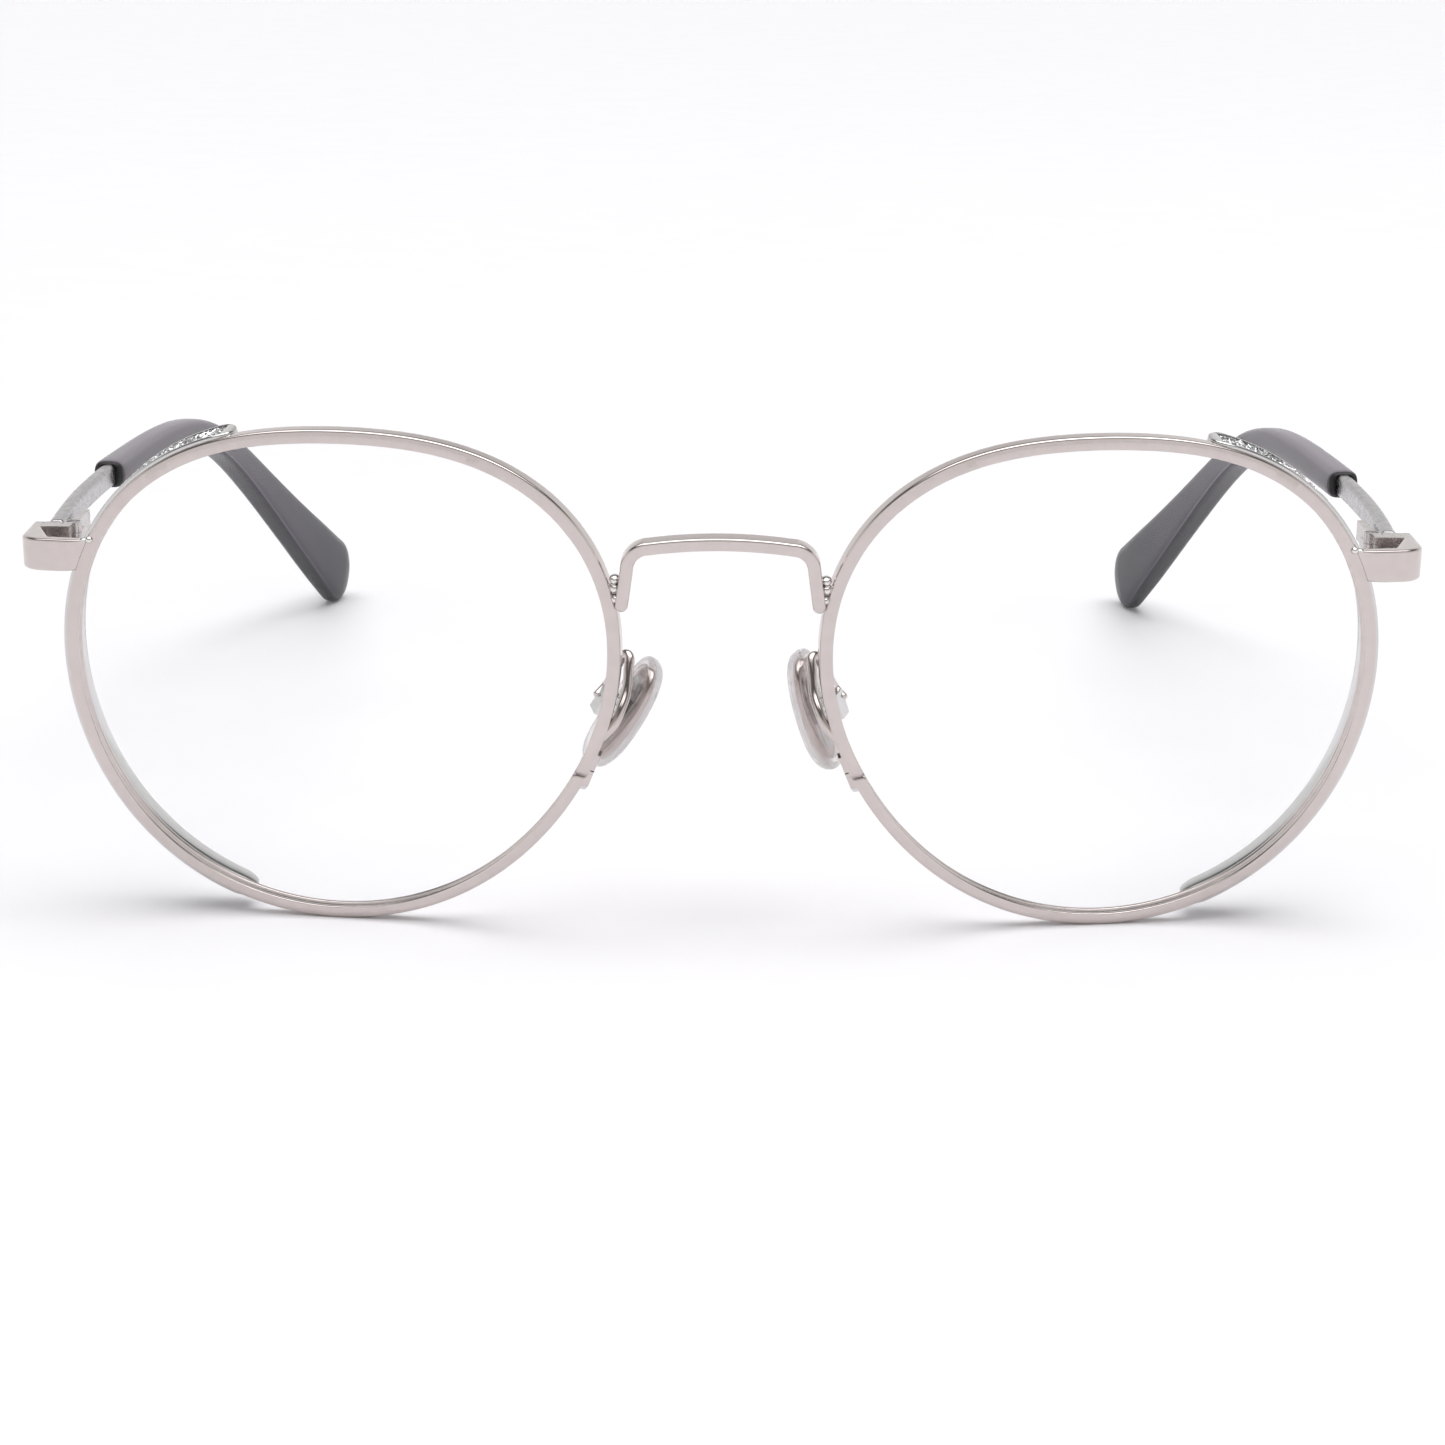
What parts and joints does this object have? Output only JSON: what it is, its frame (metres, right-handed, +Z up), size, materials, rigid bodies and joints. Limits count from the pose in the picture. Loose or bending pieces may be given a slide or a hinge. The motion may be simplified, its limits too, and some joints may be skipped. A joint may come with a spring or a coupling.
{
  "type": "round wire eyeglasses",
  "caption": "Round metal-rimmed eyeglasses with glittered side bands, clear lenses, rocking silicone nose pads and fold-away temples with acetate sleeves.",
  "frame": {"origin": "centre of the bounding box's footprint, on the flat surface that the rims and the temple tips rest on", "axes": "+X to the wearer's left, +Y back along the open temples towards the ears, +Z up; the lenses face -Y"},
  "size_m": [0.1307, 0.1348, 0.0482],
  "materials": {
    "rose_silver": "polished pale rose-silver plating",
    "polished_silver": "polished silver plating",
    "crystal": "silver glitter set in clear resin",
    "demo_lens": "clear uncoated demo lens",
    "steel_screw": "bright steel",
    "clear_silicone": "clear soft silicone",
    "black_collar": "black",
    "acetate": "polished smoky mauve translucent acetate"
  },
  "bodies": {
    "front": {"right_eyewire": "rose_silver", "left_eyewire": "rose_silver", "right_lens": "demo_lens", "left_lens": "demo_lens", "right_side_band": "polished_silver", "left_side_band": "polished_silver", "right_crystal_inlay": "crystal", "left_crystal_inlay": "crystal", "right_upper_closing_block": "rose_silver", "left_upper_closing_block": "rose_silver", "right_lower_closing_block": "rose_silver", "left_lower_closing_block": "rose_silver", "right_rim_screw": "steel_screw", "left_rim_screw": "steel_screw", "bridge": "rose_silver", "right_endpiece": "rose_silver", "left_endpiece": "rose_silver", "right_front_hinge": "rose_silver", "left_front_hinge": "rose_silver", "right_hinge_screw": "steel_screw", "left_hinge_screw": "steel_screw", "right_pad_arm": "rose_silver", "left_pad_arm": "rose_silver", "right_pad_box": "steel_screw", "left_pad_box": "steel_screw", "right_pad_screw": "steel_screw", "left_pad_screw": "steel_screw"},
    "left_temple": {"left_temple_hinge": "rose_silver", "left_temple_arm": "polished_silver", "left_sleeve_collar": "black_collar", "left_temple_sleeve": "acetate"},
    "right_temple": {"right_temple_hinge": "rose_silver", "right_temple_arm": "polished_silver", "right_sleeve_collar": "black_collar", "right_temple_sleeve": "acetate"},
    "left_pad": {"left_nose_pad": "clear_silicone", "left_pad_core": "steel_screw"},
    "right_pad": {"right_nose_pad": "clear_silicone", "right_pad_core": "steel_screw"}
  },
  "joints": [
    {"name": "left_temple_fold", "type": "hinge", "parent": "front", "child": "left_temple", "pos_m": [0.06135, -0.05337, 0.0354], "axis": [0, 0, 1], "range_deg": [0, 86]},
    {"name": "right_temple_fold", "type": "hinge", "parent": "front", "child": "right_temple", "pos_m": [-0.06135, -0.05337, 0.0354], "axis": [0, 0, -1], "range_deg": [0, 80]},
    {"name": "left_pad_rock", "type": "hinge", "parent": "front", "child": "left_pad", "pos_m": [0.01065, -0.05858, 0.0209], "axis": [0.2939, 0.9511, 0.0955], "range_deg": [-10, 5]},
    {"name": "right_pad_rock", "type": "hinge", "parent": "front", "child": "right_pad", "pos_m": [-0.01065, -0.05858, 0.0209], "axis": [-0.2592, 0.9511, 0.1683], "range_deg": [-10, 10]}
  ]
}
